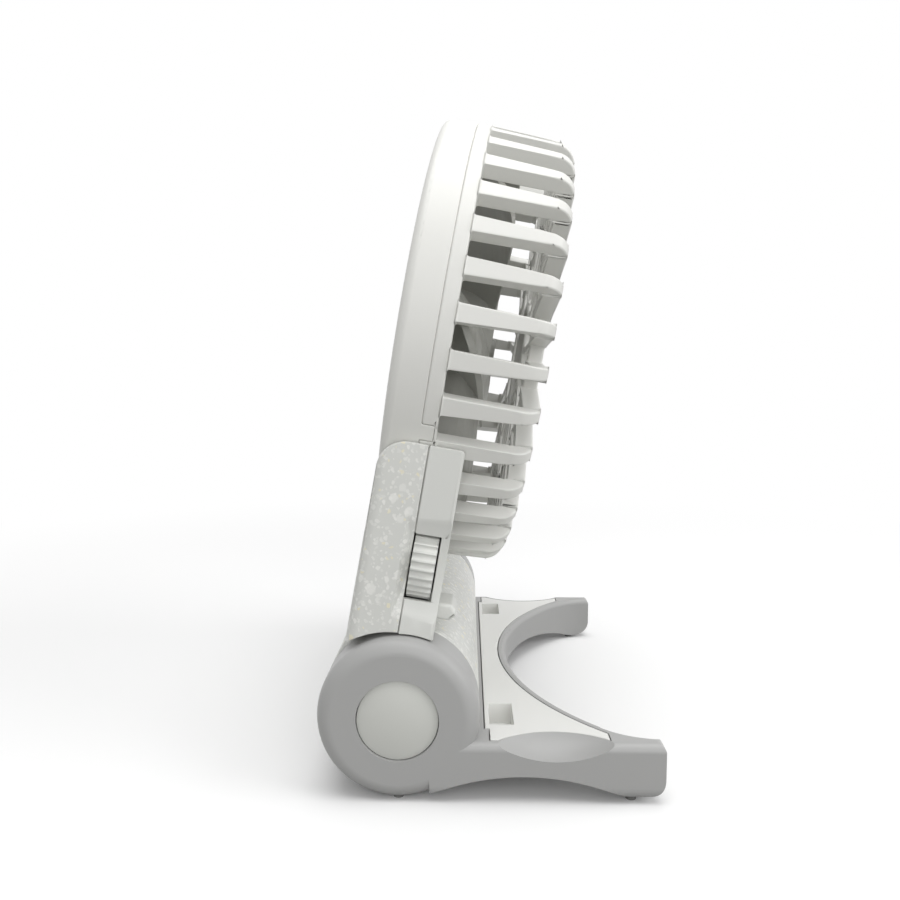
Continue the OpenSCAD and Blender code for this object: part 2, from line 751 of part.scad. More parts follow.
// Wall that stays solid behind the thumb hollow
module thumb_block() translate([-back_low_n, -handle_y, wheel_l - thumb_len / 2])
    cube([back_low_n + front_n, handle_y - thumb_floor + wall, thumb_len]);

// Back cover with the barrel that holds the battery cell
module handle_back_cover() color("#d9dad4") in_handle() difference() {
    union() {
        difference() {
            union() {
                intersection() {
                    across(handle_w) back_outline();
                    linear_extrude(handle_top) handle_section();
                }
                intersection() {
                    across(2 * barrel_half) back_outline();
                    translate([-2 * knuckle_r, -barrel_half, 0])
                        cube([2 * knuckle_r - seam_n, 2 * barrel_half, flare_l]);
                }
                y_bar(knuckle_r, -barrel_half, barrel_half);
            }
            head_rod(head_gap_r);
            knuckle_room(side_low_r);
            knuckle_back_room(side_low_r);
            difference() {
                across(handle_w - 2 * wall) back_outline(wall);
                head_rod(cradle_r);
                y_bar(knuckle_r, -barrel_half, barrel_half);
                knuckle_room(side_low_r + wall);
                knuckle_back_room(side_low_r + wall);
                low_posts(low_boss_r, -back_low_n, -ear_back_n);
                low_posts(low_boss_r + post_step, -back_low_n, -board_n);
                top_posts(top_boss_r, -back_low_n, -seam_n);
                both_sides() for (l = [post_low_l, post_high_l])
                    n_rod(post_r, -back_low_n, -board_n, post_y, l);
                thumb_block();
            }
            y_bar(barrel_in_r, -half_w, half_w);
        }
        for (y = [-cell_rib_y, 0, cell_rib_y])
            y_tube(barrel_in_r + hair, cell_r + fixed_gap, y - cell_rib_t / 2, y + cell_rib_t / 2);
    }
    thumb_hollow();
    ring_grooves();
    ears(fixed_gap);
    low_posts(screw_r, front_n - screw_head_h - handle_screw_len, front_n);
    top_posts(screw_r, front_n - screw_head_h - handle_screw_len, front_n);
    usb_port();
    motor_wires(lead_r + slot_gap);
}

// Plain front cover with the thumbwheel's window and the slots of the latch hooks
module handle_front_cover() color("#cfd0ca") in_handle() difference() {
    union() {
        difference() {
            intersection() {
                across(handle_w) front_outline();
                linear_extrude(handle_top) handle_section();
            }
            difference() {
                translate([-seam_n - over, wall - handle_y, 0])
                    cube([inner_n + seam_n + over, handle_w - 2 * wall, handle_top - wall]);
                head_rod(cradle_r);
                y_bar(knuckle_r + wall, -barrel_half, barrel_half);
                knuckle_room(side_low_r + wall);
                top_posts(top_boss_r, -seam_n - over, front_n);
                thumb_block();
            }
        }
        low_posts(low_boss_r, ear_t + hair - ear_back_n, inner_n + hair);
    }
    head_rod(head_gap_r);
    knuckle_room(side_low_r);
    y_bar(knuckle_r + hair, -barrel_half - over, barrel_half + over);
    thumb_hollow();
    seam_groove();
    n_rod(wheel_r + wheel_room, -seam_n - over, window_n, -wheel_y, wheel_l);
    translate([-seam_n - over, -half_w, wheel_l - window_h / 2])
        cube([window_w + over, half_w - wheel_y, window_h]);
    low_posts(screw_r + hair, -ear_back_n, front_n);
    top_posts(screw_r + hair, -ear_back_n, front_n);
    low_posts(screw_head_r + hair, front_n - screw_head_h, front_n + over);
    top_posts(screw_head_r + hair, front_n - screw_head_h, front_n + over);
    both_sides() translate([inner_n - over, hook_y - hook_w / 2 - fixed_gap, hook_l - fixed_gap])
        cube([wall + 2 * over, hook_w + 2 * fixed_gap, hook_t + hook_slot_up + fixed_gap]);
}

module handle_screws() color("#8d8d8d") in_handle() both_sides() {
    translate([front_n - screw_head_h, low_screw_y, low_screw_l]) rotate([0, -90, 0])
        slotted_screw(screw_r, handle_screw_len, screw_head_r, screw_head_h);
    translate([front_n - screw_head_h, top_screw_y, top_screw_l]) rotate([0, -90, 0])
        slotted_screw(screw_r, handle_screw_len, screw_head_r, screw_head_h);
}

// Hooks that catch in the base's pockets when the fan is folded
module latch_hooks() color("#c9cac4") in_handle() both_sides() translate([0, hook_y, hook_l]) {
    across(hook_w) polygon([[inner_n - hook_flange_t, 0], [front_n + hook_reach - hook_chamfer, 0],
        [front_n + hook_reach, hook_chamfer], [front_n + hook_reach, hook_t - hook_chamfer],
        [front_n + hook_reach - hook_chamfer, hook_t], [inner_n - hook_flange_t, hook_t]]);
    translate([inner_n - hook_flange_t, -hook_w / 2 - hook_flange_w, 0])
        cube([hook_flange_t, hook_w + 2 * hook_flange_w, hook_t]);
}

module barrel_end_plugs() color("#b7b8b4") in_handle() both_sides() difference() {
    y_bar(barrel_in_r - fixed_gap, barrel_half - plug_t, barrel_half);
    y_bar(pin_r + hair, barrel_half - pin_inset, half_w);
}

module battery_cell() color("#4f7fa8") in_handle() y_bar(cell_r, -cell_len / 2, cell_len / 2);

module battery_contacts() color("#c8b27a") in_handle() both_sides() {
    y_bar(contact_r, barrel_half - plug_t - contact_t, barrel_half - plug_t);
    y_bar(contact_bump_r, cell_len / 2, barrel_half - plug_t);
}

// Board on the posts behind one side of the handle, at the +Y side
module circuit_board() along_n(-board_n, board_t - board_n) difference() {
    translate([board_in_y, board_low_l]) square([board_out_y - board_in_y, board_top_l - board_low_l]);
    translate([0, head_l]) circle(cradle_r + slot_gap, $fn = 144);
    translate([low_screw_y, low_screw_l]) circle(low_boss_r + fixed_gap);
}

module control_board() color("#3f6b4d") in_handle() mirror([0, 1, 0]) circuit_board();
module charging_board() color("#3f6b4d") in_handle() circuit_board();

module speed_control() color("#3b3b3d") in_handle() difference() {
    translate([board_t - board_n, -wheel_y - control_w / 2, wheel_l - control_l / 2])
        cube([control_t, control_w, control_l]);
    n_rod(dial_shaft_r + run_gap, -dial_shaft_n - fixed_gap, front_n, -wheel_y, wheel_l);
}

// Charging socket: a shell with round ends, its closed back and the tongue with the contacts
module usb_socket() color("#b4b7ba") in_handle() translate([usb_n, 0, usb_l]) outward_from(usb_end - usb_len) {
    linear_extrude(usb_len) difference() {
        usb_outline();
        usb_outline(-usb_shell);
    }
    translate([0, 0, usb_shell]) linear_extrude(usb_shell) usb_outline(-usb_shell / 2);
    translate([-usb_tongue_t / 2, -usb_w / 3, 3 * usb_shell / 2])
        cube([usb_tongue_t, 2 * usb_w / 3, usb_len - usb_t / 3 - 3 * usb_shell / 2]);
}

// Ribbed thumbwheel in the window
module thumbwheel() color("#d2d3cd") in_handle() translate([wheel_mid_n, -wheel_y, wheel_l]) rotate([0, 90, 0])
    difference() {
        z_rod(wheel_r, -wheel_w / 2, wheel_w / 2);
        for (i = [1 : wheel_ridges]) rotate(i * 360 / wheel_ridges) translate([wheel_r, 0, 0])
            z_rod(ridge_r, -wheel_w, wheel_w);
        z_rod(dial_shaft_r, -wheel_w, wheel_w);
    }

module thumbwheel_shaft() color("#8f9296") in_handle()
    n_rod(dial_shaft_r, -dial_shaft_n, wheel_mid_n + wheel_w / 2, -wheel_y, wheel_l);

// Vents of the back shell, with a wide spoke under the motor leads
module vents() difference() {
    circle(vent_out_r, $fn = 144);
    circle(vent_in_r);
    difference() {
        circle(vent_ring_r + vent_ring_t / 2, $fn = 144);
        circle(vent_ring_r - vent_ring_t / 2, $fn = 144);
    }
    for (i = [1 : vent_count]) rotate(i * 360 / vent_count) translate([0, -vent_rib_w / 2])
        square([head_r, vent_rib_w]);
    translate([0, -lead_rib_w / 2]) square([head_r, lead_rib_w]);
}

// Tongues of the back shell, which lock in notches of the grille
module tongues(grow = 0) intersection() {
    for (turn = [-tab_angle, tab_angle, 180]) rotate(turn)
        translate([shell_in_r - grow, -tab_w / 2 - grow, -head_seam_n - over])
            cube([head_r, tab_w + 2 * grow, tab_n + over + grow]);
    z_rod(head_r + grow, -head_back_n, grille_front_n);
}

module at_motor_screws() for (turn = [60, 180, 300]) rotate(turn) translate([motor_screw_at, 0, 0]) children();

module head_back_shell() color("#d9dad4") in_handle() difference() {
    union() {
        to_fan_axis() {
            rotate_extrude($fn = 144) difference() {
                translate([0, -head_back_n]) square([head_r, head_back_n - head_seam_n]);
                translate([0, plate_in_n]) square([shell_in_r, head_back_n]);
                translate([head_r - back_edge_r, -head_back_n]) difference() {
                    translate([0, -over]) square([back_edge_r + over, back_edge_r + over]);
                    translate([0, back_edge_r]) circle(back_edge_r);
                }
            }
            tongues();
        }
        difference() {
            ears();
            head_rod(shell_in_r);
        }
    }
    to_fan_axis() {
        translate([0, 0, -head_back_n - over]) linear_extrude(shell_wall + 2 * over) vents();
        at_motor_screws() {
            z_rod(screw_r + hair, -head_back_n - over, plate_in_n + over);
            z_rod(screw_head_r + fixed_gap, -head_back_n - over, screw_head_h - head_back_n);
        }
    }
    low_posts(screw_r + hair, -back_low_n, front_n);
    motor_wires(lead_r + slot_gap);
}

// Half of the grille's section, set in from its outside and closed by a face at front
module grille_half(inset, front, corner) {
    run = (front - root_n - corner * (1 - sin(rib_draft))) / cos(rib_draft);
    corner_cx = head_r - inset - corner * cos(rib_draft) - run * sin(rib_draft);
    polygon([[0, root_n - rib_sink], [head_r - inset, root_n - rib_sink], [head_r - inset, root_n],
        [corner_cx + corner * cos(rib_draft), front - corner * (1 - sin(rib_draft))],
        [corner_cx, front], [0, front]]);
    translate([corner_cx, front - corner]) circle(corner);
}

// One long rib: its section, the taper of its upright part and the taper of its front part
module long_rib() intersection() {
    rotate([90, 0, 0]) translate([0, 0, -rib_root_w]) linear_extrude(2 * rib_root_w) difference() {
        grille_half(hair, grille_front_n, rib_corner_r);
        grille_half(rib_depth, grille_front_n - rib_front_t, inner_corner_r);
        translate([-over, root_n - over]) square([mid_ring_r + over, 2 * head_r]);
    }
    rotate([90, 0, 90]) linear_extrude(head_r + over) polygon([[-rib_root_w / 2, root_n - over],
        [rib_root_w / 2, root_n - over], [rib_root_w / 2, root_n], [rib_front_w / 2, grille_front_n],
        [-rib_front_w / 2, grille_front_n], [-rib_root_w / 2, root_n]]);
    translate([0, 0, root_n - over]) linear_extrude(grille_front_n - root_n + over) {
        polygon([[mid_ring_r, -mid_rib_w / 2], [head_r - rib_depth, -rib_front_w / 2],
            [head_r - rib_depth, rib_front_w / 2], [mid_ring_r, mid_rib_w / 2]]);
        translate([head_r - rib_depth - over, -rib_root_w]) square([rib_depth + 2 * over, 2 * rib_root_w]);
    }
}

// Grille: a band that plugs into the back shell, the ribs round its rim, and its front
module front_grille() color("#dcdcd6") on_fan_axis() {
    difference() {
        union() {
            z_tube(head_r, head_r - band_t, -head_seam_n, root_n);
            z_tube(shell_in_r - fixed_gap, shell_in_r - fixed_gap - spigot_t, -head_seam_n - spigot_l, root_n);
        }
        tongues(fixed_gap);
    }
    for (i = [1 : rib_count]) rotate((i + 1 / 2) * 360 / rib_count) long_rib();
    front_low = grille_front_n - rib_front_t;
    mid_out_r = mid_ring_r + mid_ring_t / 2;
    z_tube(mid_out_r, mid_out_r - mid_ring_t, front_low + ring_step, grille_front_n - ring_step);
    for (i = [1 : rib_count / 2]) rotate((i + 1 / 4) * 720 / rib_count)
        translate([hub_ring_r - hub_ring_t / 2, -inner_rib_w / 2, front_low + 2 * ring_step])
            cube([mid_ring_r - hub_ring_r + hub_ring_t / 2, inner_rib_w, rib_front_t - 4 * ring_step]);
    difference() {
        z_tube(hub_ring_r, hub_ring_r - hub_ring_t, front_low, grille_front_n);
        z_rod(hub_ring_r - hub_ring_t / 2 + fixed_gap, grille_front_n + hub_cap_proud - hub_cap_t, head_r);
    }
}

module grille_hub_cap() color("#d2d3cd") on_fan_axis()
    translate([0, 0, grille_front_n + hub_cap_proud - hub_cap_t]) {
        z_rod(hub_ring_r - hub_ring_t / 2, 0, hub_cap_t - hub_cap_edge);
        z_rod(hub_ring_r - hub_ring_t / 2 - hub_cap_edge, 0, hub_cap_t);
    }

// Motor mount on the back shell, with the tube of the two bearings
module motor_base() color("#a9abad") on_fan_axis() difference() {
    union() {
        z_rod(base_r, plate_in_n, plate_in_n + base_disc_t);
        z_rod(tube_r, plate_in_n, tube_top_n);
    }
    z_rod(bearing_r, plate_in_n + base_disc_t, tube_top_n + over);
    at_motor_screws() z_rod(screw_r, plate_in_n - over, plate_in_n + base_disc_t + over);
}

module motor_bearings() color("#8f9296") on_fan_axis() {
    z_tube(bearing_r, shaft_r + run_gap, plate_in_n + base_disc_t, plate_in_n + base_disc_t + bearing_len);
    z_tube(bearing_r, shaft_r + run_gap, tube_top_n - bearing_len, tube_top_n);
}

module stator_section() difference() {
    union() {
        circle(yoke_r);
        for (i = [1 : tooth_count]) rotate(i * 360 / tooth_count)
            translate([0, -tooth_w / 2]) square([core_r - tooth_tip_t / 2, tooth_w]);
        intersection() {
            difference() {
                circle(core_r);
                circle(core_r - tooth_tip_t);
            }
            for (i = [1 : tooth_count]) rotate(i * 360 / tooth_count)
                translate([0, -tooth_w]) square([2 * core_r, 2 * tooth_w]);
        }
    }
    circle(tube_r + hair);
}

module motor_stator() color("#6d7073") on_fan_axis() translate([0, 0, core_low_n])
    linear_extrude(core_t) stator_section();

module motor_coils() color("#b0703a") on_fan_axis()
    for (i = [1 : tooth_count]) rotate(i * 360 / tooth_count) difference() {
        translate([coil_in_r, -tooth_w / 2 - coil_t, core_low_n - coil_t])
            cube([coil_out_r - coil_in_r, tooth_w + 2 * coil_t, core_t + 2 * coil_t]);
        translate([coil_in_r - over, -tooth_w / 2, core_low_n]) cube([core_r, tooth_w, core_t]);
    }

module motor_screws() color("#8d8d8d") on_fan_axis() at_motor_screws()
    translate([0, 0, screw_head_h - head_back_n])
        slotted_screw(screw_r, shell_wall - screw_head_h + motor_screw_in, screw_head_r, screw_head_h);

module motor_leads() color("#a33b32") in_handle() motor_wires(lead_r);

module rotor_can() color("#9a9da0") on_fan_axis() difference() {
    z_rod(hub_in_r, can_low_n, can_top_n);
    z_rod(hub_in_r - can_t, can_low_n - over, can_top_n - can_t);
    z_rod(shaft_r, can_low_n, can_top_n + over);
}

module rotor_magnet() color("#55585b") on_fan_axis()
    z_tube(hub_in_r - can_t, hub_in_r - can_t - magnet_t, magnet_low_n, magnet_low_n + magnet_len);

module motor_shaft() color("#c3c6c9") on_fan_axis() z_rod(shaft_r, shaft_low_n, shaft_top_n);

// Point of a blade: along runs from -1 to 1 over the chord, out from 0 to 1 over the span
function blade_chord(out) = root_chord + out * (tip_chord - root_chord);
function blade_at(along, out) = blade_chord(out) * along / 2;
function blade_off(along, out, side) = (1 - along * along) * camber_share * blade_chord(out)
    + side * (edge_share + (1 - edge_share) * (1 - along * along)) * blade_t / 2;
function blade_span_r(out) = hub_r - blade_sink + out * (blade_r - hub_r + blade_sink);
function blade_arc(along, out, side, pitch) =
    blade_at(along, out) * cos(pitch) - blade_off(along, out, side) * sin(pitch);
function blade_turn(along, out, side, pitch) = tip_sweep * out * out
    + blade_arc(along, out, side, pitch) * 180 / PI / blade_span_r(out);
function blade_up(along, out, side, pitch) = blade_mid_n
    + blade_at(along, out) * sin(pitch) + blade_off(along, out, side) * cos(pitch);
function blade_point(along, out, side) = let (
    pitch = root_pitch + out * (tip_pitch - root_pitch),
    turn = blade_turn(along, out, side, pitch)
) [blade_span_r(out) * cos(turn), blade_span_r(out) * sin(turn), blade_up(along, out, side, pitch)];
function blade_loop(out) = concat(
    [for (i = [0 : blade_steps]) blade_point(2 * i / blade_steps - 1, out, 1)],
    [for (i = [0 : blade_steps]) blade_point(1 - 2 * i / blade_steps, out, -1)]);

// Swept and cambered blade, from a loop of points at each station of its span
module blade() {
    loop_len = 2 * blade_steps + 2;
    tip_start = blade_stations * loop_len;
    points = [for (k = [0 : blade_stations]) each blade_loop(k / blade_stations)];
    sides = [for (k = [0 : blade_stations - 1]) for (i = [0 : loop_len - 1]) let (
        a = k * loop_len + i,
        b = k * loop_len + (i + 1) % loop_len
    ) each [[a, b, b + loop_len], [a, b + loop_len, a + loop_len]]];
    root = [for (i = [0 : blade_steps - 1]) let (j = loop_len - 1 - i)
        each [[i, j, j - 1], [i, j - 1, i + 1]]];
    tip = [for (face = root) [tip_start + face[0], tip_start + face[2], tip_start + face[1]]];
    polyhedron(points, concat(sides, root, tip));
}

module impeller() color("#a4a49e") on_fan_axis() {
    z_tube(hub_r, hub_in_r, hub_low_n, can_top_n + hub_top_t);
    z_tube(hub_r - hair, shaft_r, can_top_n, can_top_n + hub_top_t);
    z_tube(nose_r, shaft_r, can_top_n, shaft_top_n);
    for (i = [1 : blade_count]) rotate(i * 360 / blade_count) blade();
}

base_yoke();
base_plate();
base_plate_screws();
knuckle_caps();
hinge_bushes();
rubber_feet();
handle_back_cover();
handle_front_cover();
handle_screws();
latch_hooks();
barrel_end_plugs();
hinge_pins();
friction_washers();
hinge_screws();
battery_cell();
battery_contacts();
control_board();
speed_control();
charging_board();
usb_socket();
thumbwheel();
thumbwheel_shaft();
head_back_shell();
front_grille();
grille_hub_cap();
motor_base();
motor_stator();
motor_coils();
motor_bearings();
motor_screws();
motor_leads();
impeller();
rotor_can();
rotor_magnet();
motor_shaft();
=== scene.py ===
import json
import math

import bmesh
import bpy
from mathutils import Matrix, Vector


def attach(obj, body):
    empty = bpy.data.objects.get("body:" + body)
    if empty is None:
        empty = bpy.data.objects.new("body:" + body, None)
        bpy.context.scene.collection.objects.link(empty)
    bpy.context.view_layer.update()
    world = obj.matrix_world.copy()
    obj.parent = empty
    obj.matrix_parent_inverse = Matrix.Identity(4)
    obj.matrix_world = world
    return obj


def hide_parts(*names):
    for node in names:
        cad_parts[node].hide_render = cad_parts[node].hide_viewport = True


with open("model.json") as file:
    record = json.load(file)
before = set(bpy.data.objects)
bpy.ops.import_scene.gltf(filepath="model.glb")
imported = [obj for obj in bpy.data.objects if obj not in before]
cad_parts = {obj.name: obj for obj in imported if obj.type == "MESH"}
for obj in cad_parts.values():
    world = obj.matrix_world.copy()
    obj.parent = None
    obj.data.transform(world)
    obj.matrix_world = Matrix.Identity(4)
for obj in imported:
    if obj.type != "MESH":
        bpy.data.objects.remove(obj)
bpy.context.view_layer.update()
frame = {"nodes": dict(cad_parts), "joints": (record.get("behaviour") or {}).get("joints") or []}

mm = 0.001
nodes = frame["nodes"]
joints = {joint["name"]: joint for joint in frame["joints"]}
hinge = Vector(joints["head_fold"]["pos_m"])


def colorOf(code):
    # sRGB hex code to the linear colour that a shader takes
    parts = [int(code[i : i + 2], 16) / 255 for i in (1, 3, 5)]
    linear = [c / 12.92 if c <= 0.04045 else ((c + 0.055) / 1.055) ** 2.4 for c in parts]
    return (*linear, 1)


# A socket that shader maths can be written with in plain Python
class Wire:
    def __init__(self, wiring, socket):
        self.wiring = wiring
        self.socket = socket

    def maths(self, operation, left, right):
        return self.wiring.node("ShaderNodeMath", {"operation": operation}, {0: left, 1: right})

    def __add__(self, other):
        return self.maths("ADD", self, other)

    def __radd__(self, other):
        return self.maths("ADD", other, self)

    def __sub__(self, other):
        return self.maths("SUBTRACT", self, other)

    def __rsub__(self, other):
        return self.maths("SUBTRACT", other, self)

    def __mul__(self, other):
        return self.maths("MULTIPLY", self, other)

    def __rmul__(self, other):
        return self.maths("MULTIPLY", other, self)

    def __lt__(self, other):
        return self.maths("LESS_THAN", self, other)

    def __gt__(self, other):  # the reflected form of <
        return self.maths("GREATER_THAN", self, other)

    def orMore(self, other):
        return self.maths("MAXIMUM", self, other)


# The nodes of a material or of the world
class Wiring:
    def __init__(self, tree):
        self.tree = tree

    def join(self, socket, value):
        if isinstance(value, Wire):
            self.tree.links.new(value.socket, socket)
        else:
            socket.default_value = value

    def node(self, kind, settings=None, sockets=None, output=0):
        made = self.tree.nodes.new(kind)
        for name, value in (settings or {}).items():
            setattr(made, name, value)
        for name, value in (sockets or {}).items():
            self.join(made.inputs[name], value)
        return Wire(self, made.outputs[output]) if made.outputs else None

    def seenRay(self):
        # 1 for rays of the camera, of reflections and through glass, 0 for the light on things
        camera, glass, gloss = (
            self.node("ShaderNodeLightPath", output=f"Is {kind} Ray")
            for kind in ("Camera", "Transmission", "Glossy")
        )
        return camera.orMore(glass).orMore(gloss)


# A material, whose plain values are given with its name
class Finish(Wiring):
    def __init__(self, name, **plain):
        self.material = bpy.data.materials.new(name)
        self.material.use_nodes = True
        super().__init__(self.material.node_tree)
        self.shader = self.tree.nodes["Principled BSDF"]
        for socket, value in plain.items():
            self.set(socket.replace("_", " "), value)

    def set(self, socket, value):
        self.join(self.shader.inputs[socket], value)

    def place(self, stretch=(1, 1, 1)):
        where = self.node("ShaderNodeTexCoord", output="Object")
        return self.node("ShaderNodeMapping", {}, {"Vector": where, "Scale": stretch})

    def noise(self, place, size, detail=2.0, rough=0.5, output=0):
        sockets = {"Vector": place, "Scale": 1 / size, "Detail": detail, "Roughness": rough}
        return self.node("ShaderNodeTexNoise", {}, sockets, output)

    def blend(self, share, first, second):
        # a Mix node's sockets share names, so its colours are 6 and 7
        sockets = {0: share, 6: first, 7: second}
        return self.node("ShaderNodeMix", {"data_type": "RGBA"}, sockets, 2)

    def bump(self, height, depth, strength):
        sockets = {"Height": height, "Distance": depth, "Strength": strength}
        return self.node("ShaderNodeBump", {}, sockets)


def uneven(noise, spread):
    # noise that adds as much as it takes away
    return (noise - 0.5) * spread


# Moulded plastic: a fine spark-eroded grain, faint cloudiness and slightly uneven gloss
plasticLooks = {
    "refraction": 1.46,
    "grain": 0.22 * mm,
    "grainDetail": 2.0,
    "grainRough": 0.6,
    "grainDepth": 0.012 * mm,
    "grainStrength": 0.5,
    "cloud": 18 * mm,
    "cloudDetail": 3.0,
    "cloudShare": 0.35,
    "glossSpread": 0.1,
}


def mouldedGrain(finish, place):
    look = plasticLooks
    grain = finish.noise(place, look["grain"], look["grainDetail"], look["grainRough"])
    finish.set("Normal", finish.bump(grain, look["grainDepth"], look["grainStrength"]))
    return grain


def mouldedPlastic(name, color, shade, roughness):
    look = plasticLooks
    finish = Finish(name, IOR=look["refraction"])
    place = finish.place()
    cloud = finish.noise(place, look["cloud"], look["cloudDetail"])
    share = cloud * look["cloudShare"]
    finish.set("Base Color", finish.blend(share, colorOf(color), colorOf(shade)))
    grain = mouldedGrain(finish, place)
    gloss = roughness + uneven(cloud, look["glossSpread"]) + uneven(grain, look["glossSpread"])
    finish.set("Roughness", gloss)
    return finish.material


# Plastic with pale chips in it, long and short, close together and some of them faintly yellow
flakeLooks = {
    "base": "#dddeda",
    "shade": "#d5d6d1",
    "pale": "#f3f3ef",
    "warm": "#ece6cb",
    "cloud": 12 * mm,
    "cloudShare": 0.6,
    "roughness": 0.42,
    "chipGloss": 0.04,  # a chip is this much smoother
    "bend": 0.9 * mm,  # how far the chips' outlines wander
    "bendSize": 0.9 * mm,
    "bendDetail": 1.0,
    "reach": 0.27,  # the smallest chip's reach in its cell
    "reachSpread": 0.25,
    "edge": 9.0,  # how sharply a chip ends
    "faintest": 0.4,
    "paleSpread": 0.6,
    "layers": [
        # size, share of the cells that hold a chip, stretch, turn, strength, share of warm chips
        (0.85 * mm, 0.62, (1.0, 0.5, 0.75), (0.5, 0.3, 0.9), 0.80, 0.10),
        (0.62 * mm, 0.60, (0.55, 1.0, 0.65), (1.4, 0.8, 0.2), 0.65, 0.06),
        (1.25 * mm, 0.38, (0.6, 0.8, 0.5), (0.2, 1.9, 1.3), 0.75, 0.16),
    ],
}


def flakes(finish, place, size, share, stretch, turn):
    # mask of the chips of one size, and a number from 0 to 1 for each chip
    sockets = {"Vector": place, "Rotation": turn, "Scale": stretch}
    turned = finish.node("ShaderNodeMapping", {}, sockets)
    cells = {"Vector": turned, "Scale": 1 / size, "Randomness": 1.0}
    near, tint = (
        finish.node("ShaderNodeTexVoronoi", {"feature": "F1"}, cells, output)
        for output in ("Distance", "Color")
    )
    pick, kind, far = (
        finish.node("ShaderNodeSeparateColor", {}, {0: tint}, channel) for channel in range(3)
    )
    reach = far * flakeLooks["reachSpread"] + flakeLooks["reach"]
    edge = finish.node("ShaderNodeClamp", {}, {0: (reach - near) * flakeLooks["edge"]})
    return edge * (pick < share), kind


def speckledPlastic(name):
    look = flakeLooks
    finish = Finish(name, IOR=plasticLooks["refraction"])
    place = finish.place()
    bend = finish.noise(place, look["bendSize"], look["bendDetail"], output="Color")
    bent = finish.node(
        "ShaderNodeVectorMath",
        {"operation": "MULTIPLY_ADD"},
        {0: bend, 1: (look["bend"],) * 3, 2: place},
    )
    cloud = finish.noise(place, look["cloud"], plasticLooks["cloudDetail"])
    color = finish.blend(
        cloud * look["cloudShare"], colorOf(look["base"]), colorOf(look["shade"])
    )
    chips = 0
    for size, share, stretch, turn, strength, warmShare in look["layers"]:
        mask, kind = flakes(finish, bent, size, share, stretch, turn)
        pale = mask * (kind * look["paleSpread"] + look["faintest"]) * strength
        color = finish.blend(pale, color, colorOf(look["pale"]))
        warm = mask * (kind < warmShare) * strength
        color = finish.blend(warm, color, colorOf(look["warm"]))
        chips = mask + chips
    finish.set("Base Color", color)
    mouldedGrain(finish, place)
    gloss = look["roughness"] + uneven(cloud, plasticLooks["glossSpread"])
    finish.set("Roughness", gloss - chips * look["chipGloss"])
    return finish.material


# Turned or stamped metal: fine lines round the part and a little tarnish
metalLooks = {
    "line": 0.25 * mm,
    "lineStretch": (1, 1, 12),
    "lineDepth": 0.006 * mm,
    "lineStrength": 0.4,
    "lineSpread": 0.1,
    "stain": 6 * mm,
    "stainDetail": 4.0,
    "stainSpread": 0.15,
}


def brushedMetal(name, color, shade, roughness):
    look = metalLooks
    finish = Finish(name, Metallic=1.0)
    stain = finish.noise(finish.place(), look["stain"], look["stainDetail"])
    finish.set("Base Color", finish.blend(stain, colorOf(color), colorOf(shade)))
    lines = finish.noise(finish.place(look["lineStretch"]), look["line"])
    gloss = roughness + uneven(stain, look["stainSpread"]) + uneven(lines, look["lineSpread"])
    finish.set("Roughness", gloss)
    finish.set("Normal", finish.bump(lines, look["lineDepth"], look["lineStrength"]))
    return finish.material


# Rubber of the feet, dull and a little dusty
rubberLooks = {
    "color": "#7c7c7a",
    "shade": "#6c6c6a",
    "dust": 2 * mm,
    "dustDetail": 4.0,
    "roughness": 0.75,
    "glossSpread": 0.2,
    "grain": 0.3 * mm,
    "grainDepth": 0.02 * mm,
    "grainStrength": 0.6,
}


def footRubber(name):
    look = rubberLooks
    finish = Finish(name)
    place = finish.place()
    dust = finish.noise(place, look["dust"], look["dustDetail"])
    finish.set("Base Color", finish.blend(dust, colorOf(look["color"]), colorOf(look["shade"])))
    finish.set("Roughness", look["roughness"] + uneven(dust, look["glossSpread"]))
    grain = finish.noise(place, look["grain"])
    finish.set("Normal", finish.bump(grain, look["grainDepth"], look["grainStrength"]))
    return finish.material


# Circuit board: solder mask over copper tracks
boardLooks = {
    "mask": "#2c6b46",
    "track": "#4f9468",
    "cells": 420.0,  # to the metre, with a track between two of them
    "trackWidth": 0.07,
    "trackDepth": 0.03 * mm,
    "trackStrength": 0.5,
    "roughness": 0.35,
    "trackRoughness": 0.1,
    "coat": 0.3,
    "coatRoughness": 0.2,
}


def circuitBoard(name):
    look = boardLooks
    finish = Finish(name, Coat_Weight=look["coat"], Coat_Roughness=look["coatRoughness"])
    edges = finish.node(
        "ShaderNodeTexVoronoi",
        {"feature": "DISTANCE_TO_EDGE"},
        {"Vector": finish.place(), "Scale": look["cells"]},
        "Distance",
    )
    track = edges < look["trackWidth"]
    finish.set("Base Color", finish.blend(track, colorOf(look["mask"]), colorOf(look["track"])))
    finish.set("Roughness", look["roughness"] + track * look["trackRoughness"])
    finish.set("Normal", finish.bump(track, look["trackDepth"], look["trackStrength"]))
    return finish.material


# Enamelled copper wire wound round each tooth, with painted shade in the grooves between the turns
coilLooks = {
    # the colour between the turns is painted shade in the grooves
    "between": "#6e3413",
    "wire": "#c37a3c",
    "turns": 900.0,
    "distortion": 0.4,
    "detail": 1.0,
    "metal": 0.6,
    "roughness": 0.45,
    "wireGloss": 0.15,
    "wireDepth": 0.08 * mm,
    "wireStrength": 0.7,
}


def windings(name):
    look = coilLooks
    finish = Finish(name, Metallic=look["metal"])
    turns = finish.node(
        "ShaderNodeTexWave",
        {"bands_direction": "X"},
        {
            "Vector": finish.place(),
            "Scale": look["turns"],
            "Distortion": look["distortion"],
            "Detail": look["detail"],
        },
        "Fac",
    )
    # darker between the turns: painted shade in the grooves
    finish.set("Base Color", finish.blend(turns, colorOf(look["between"]), colorOf(look["wire"])))
    finish.set("Roughness", look["roughness"] - turns * look["wireGloss"])
    finish.set("Normal", finish.bump(turns, look["wireDepth"], look["wireStrength"]))
    return finish.material


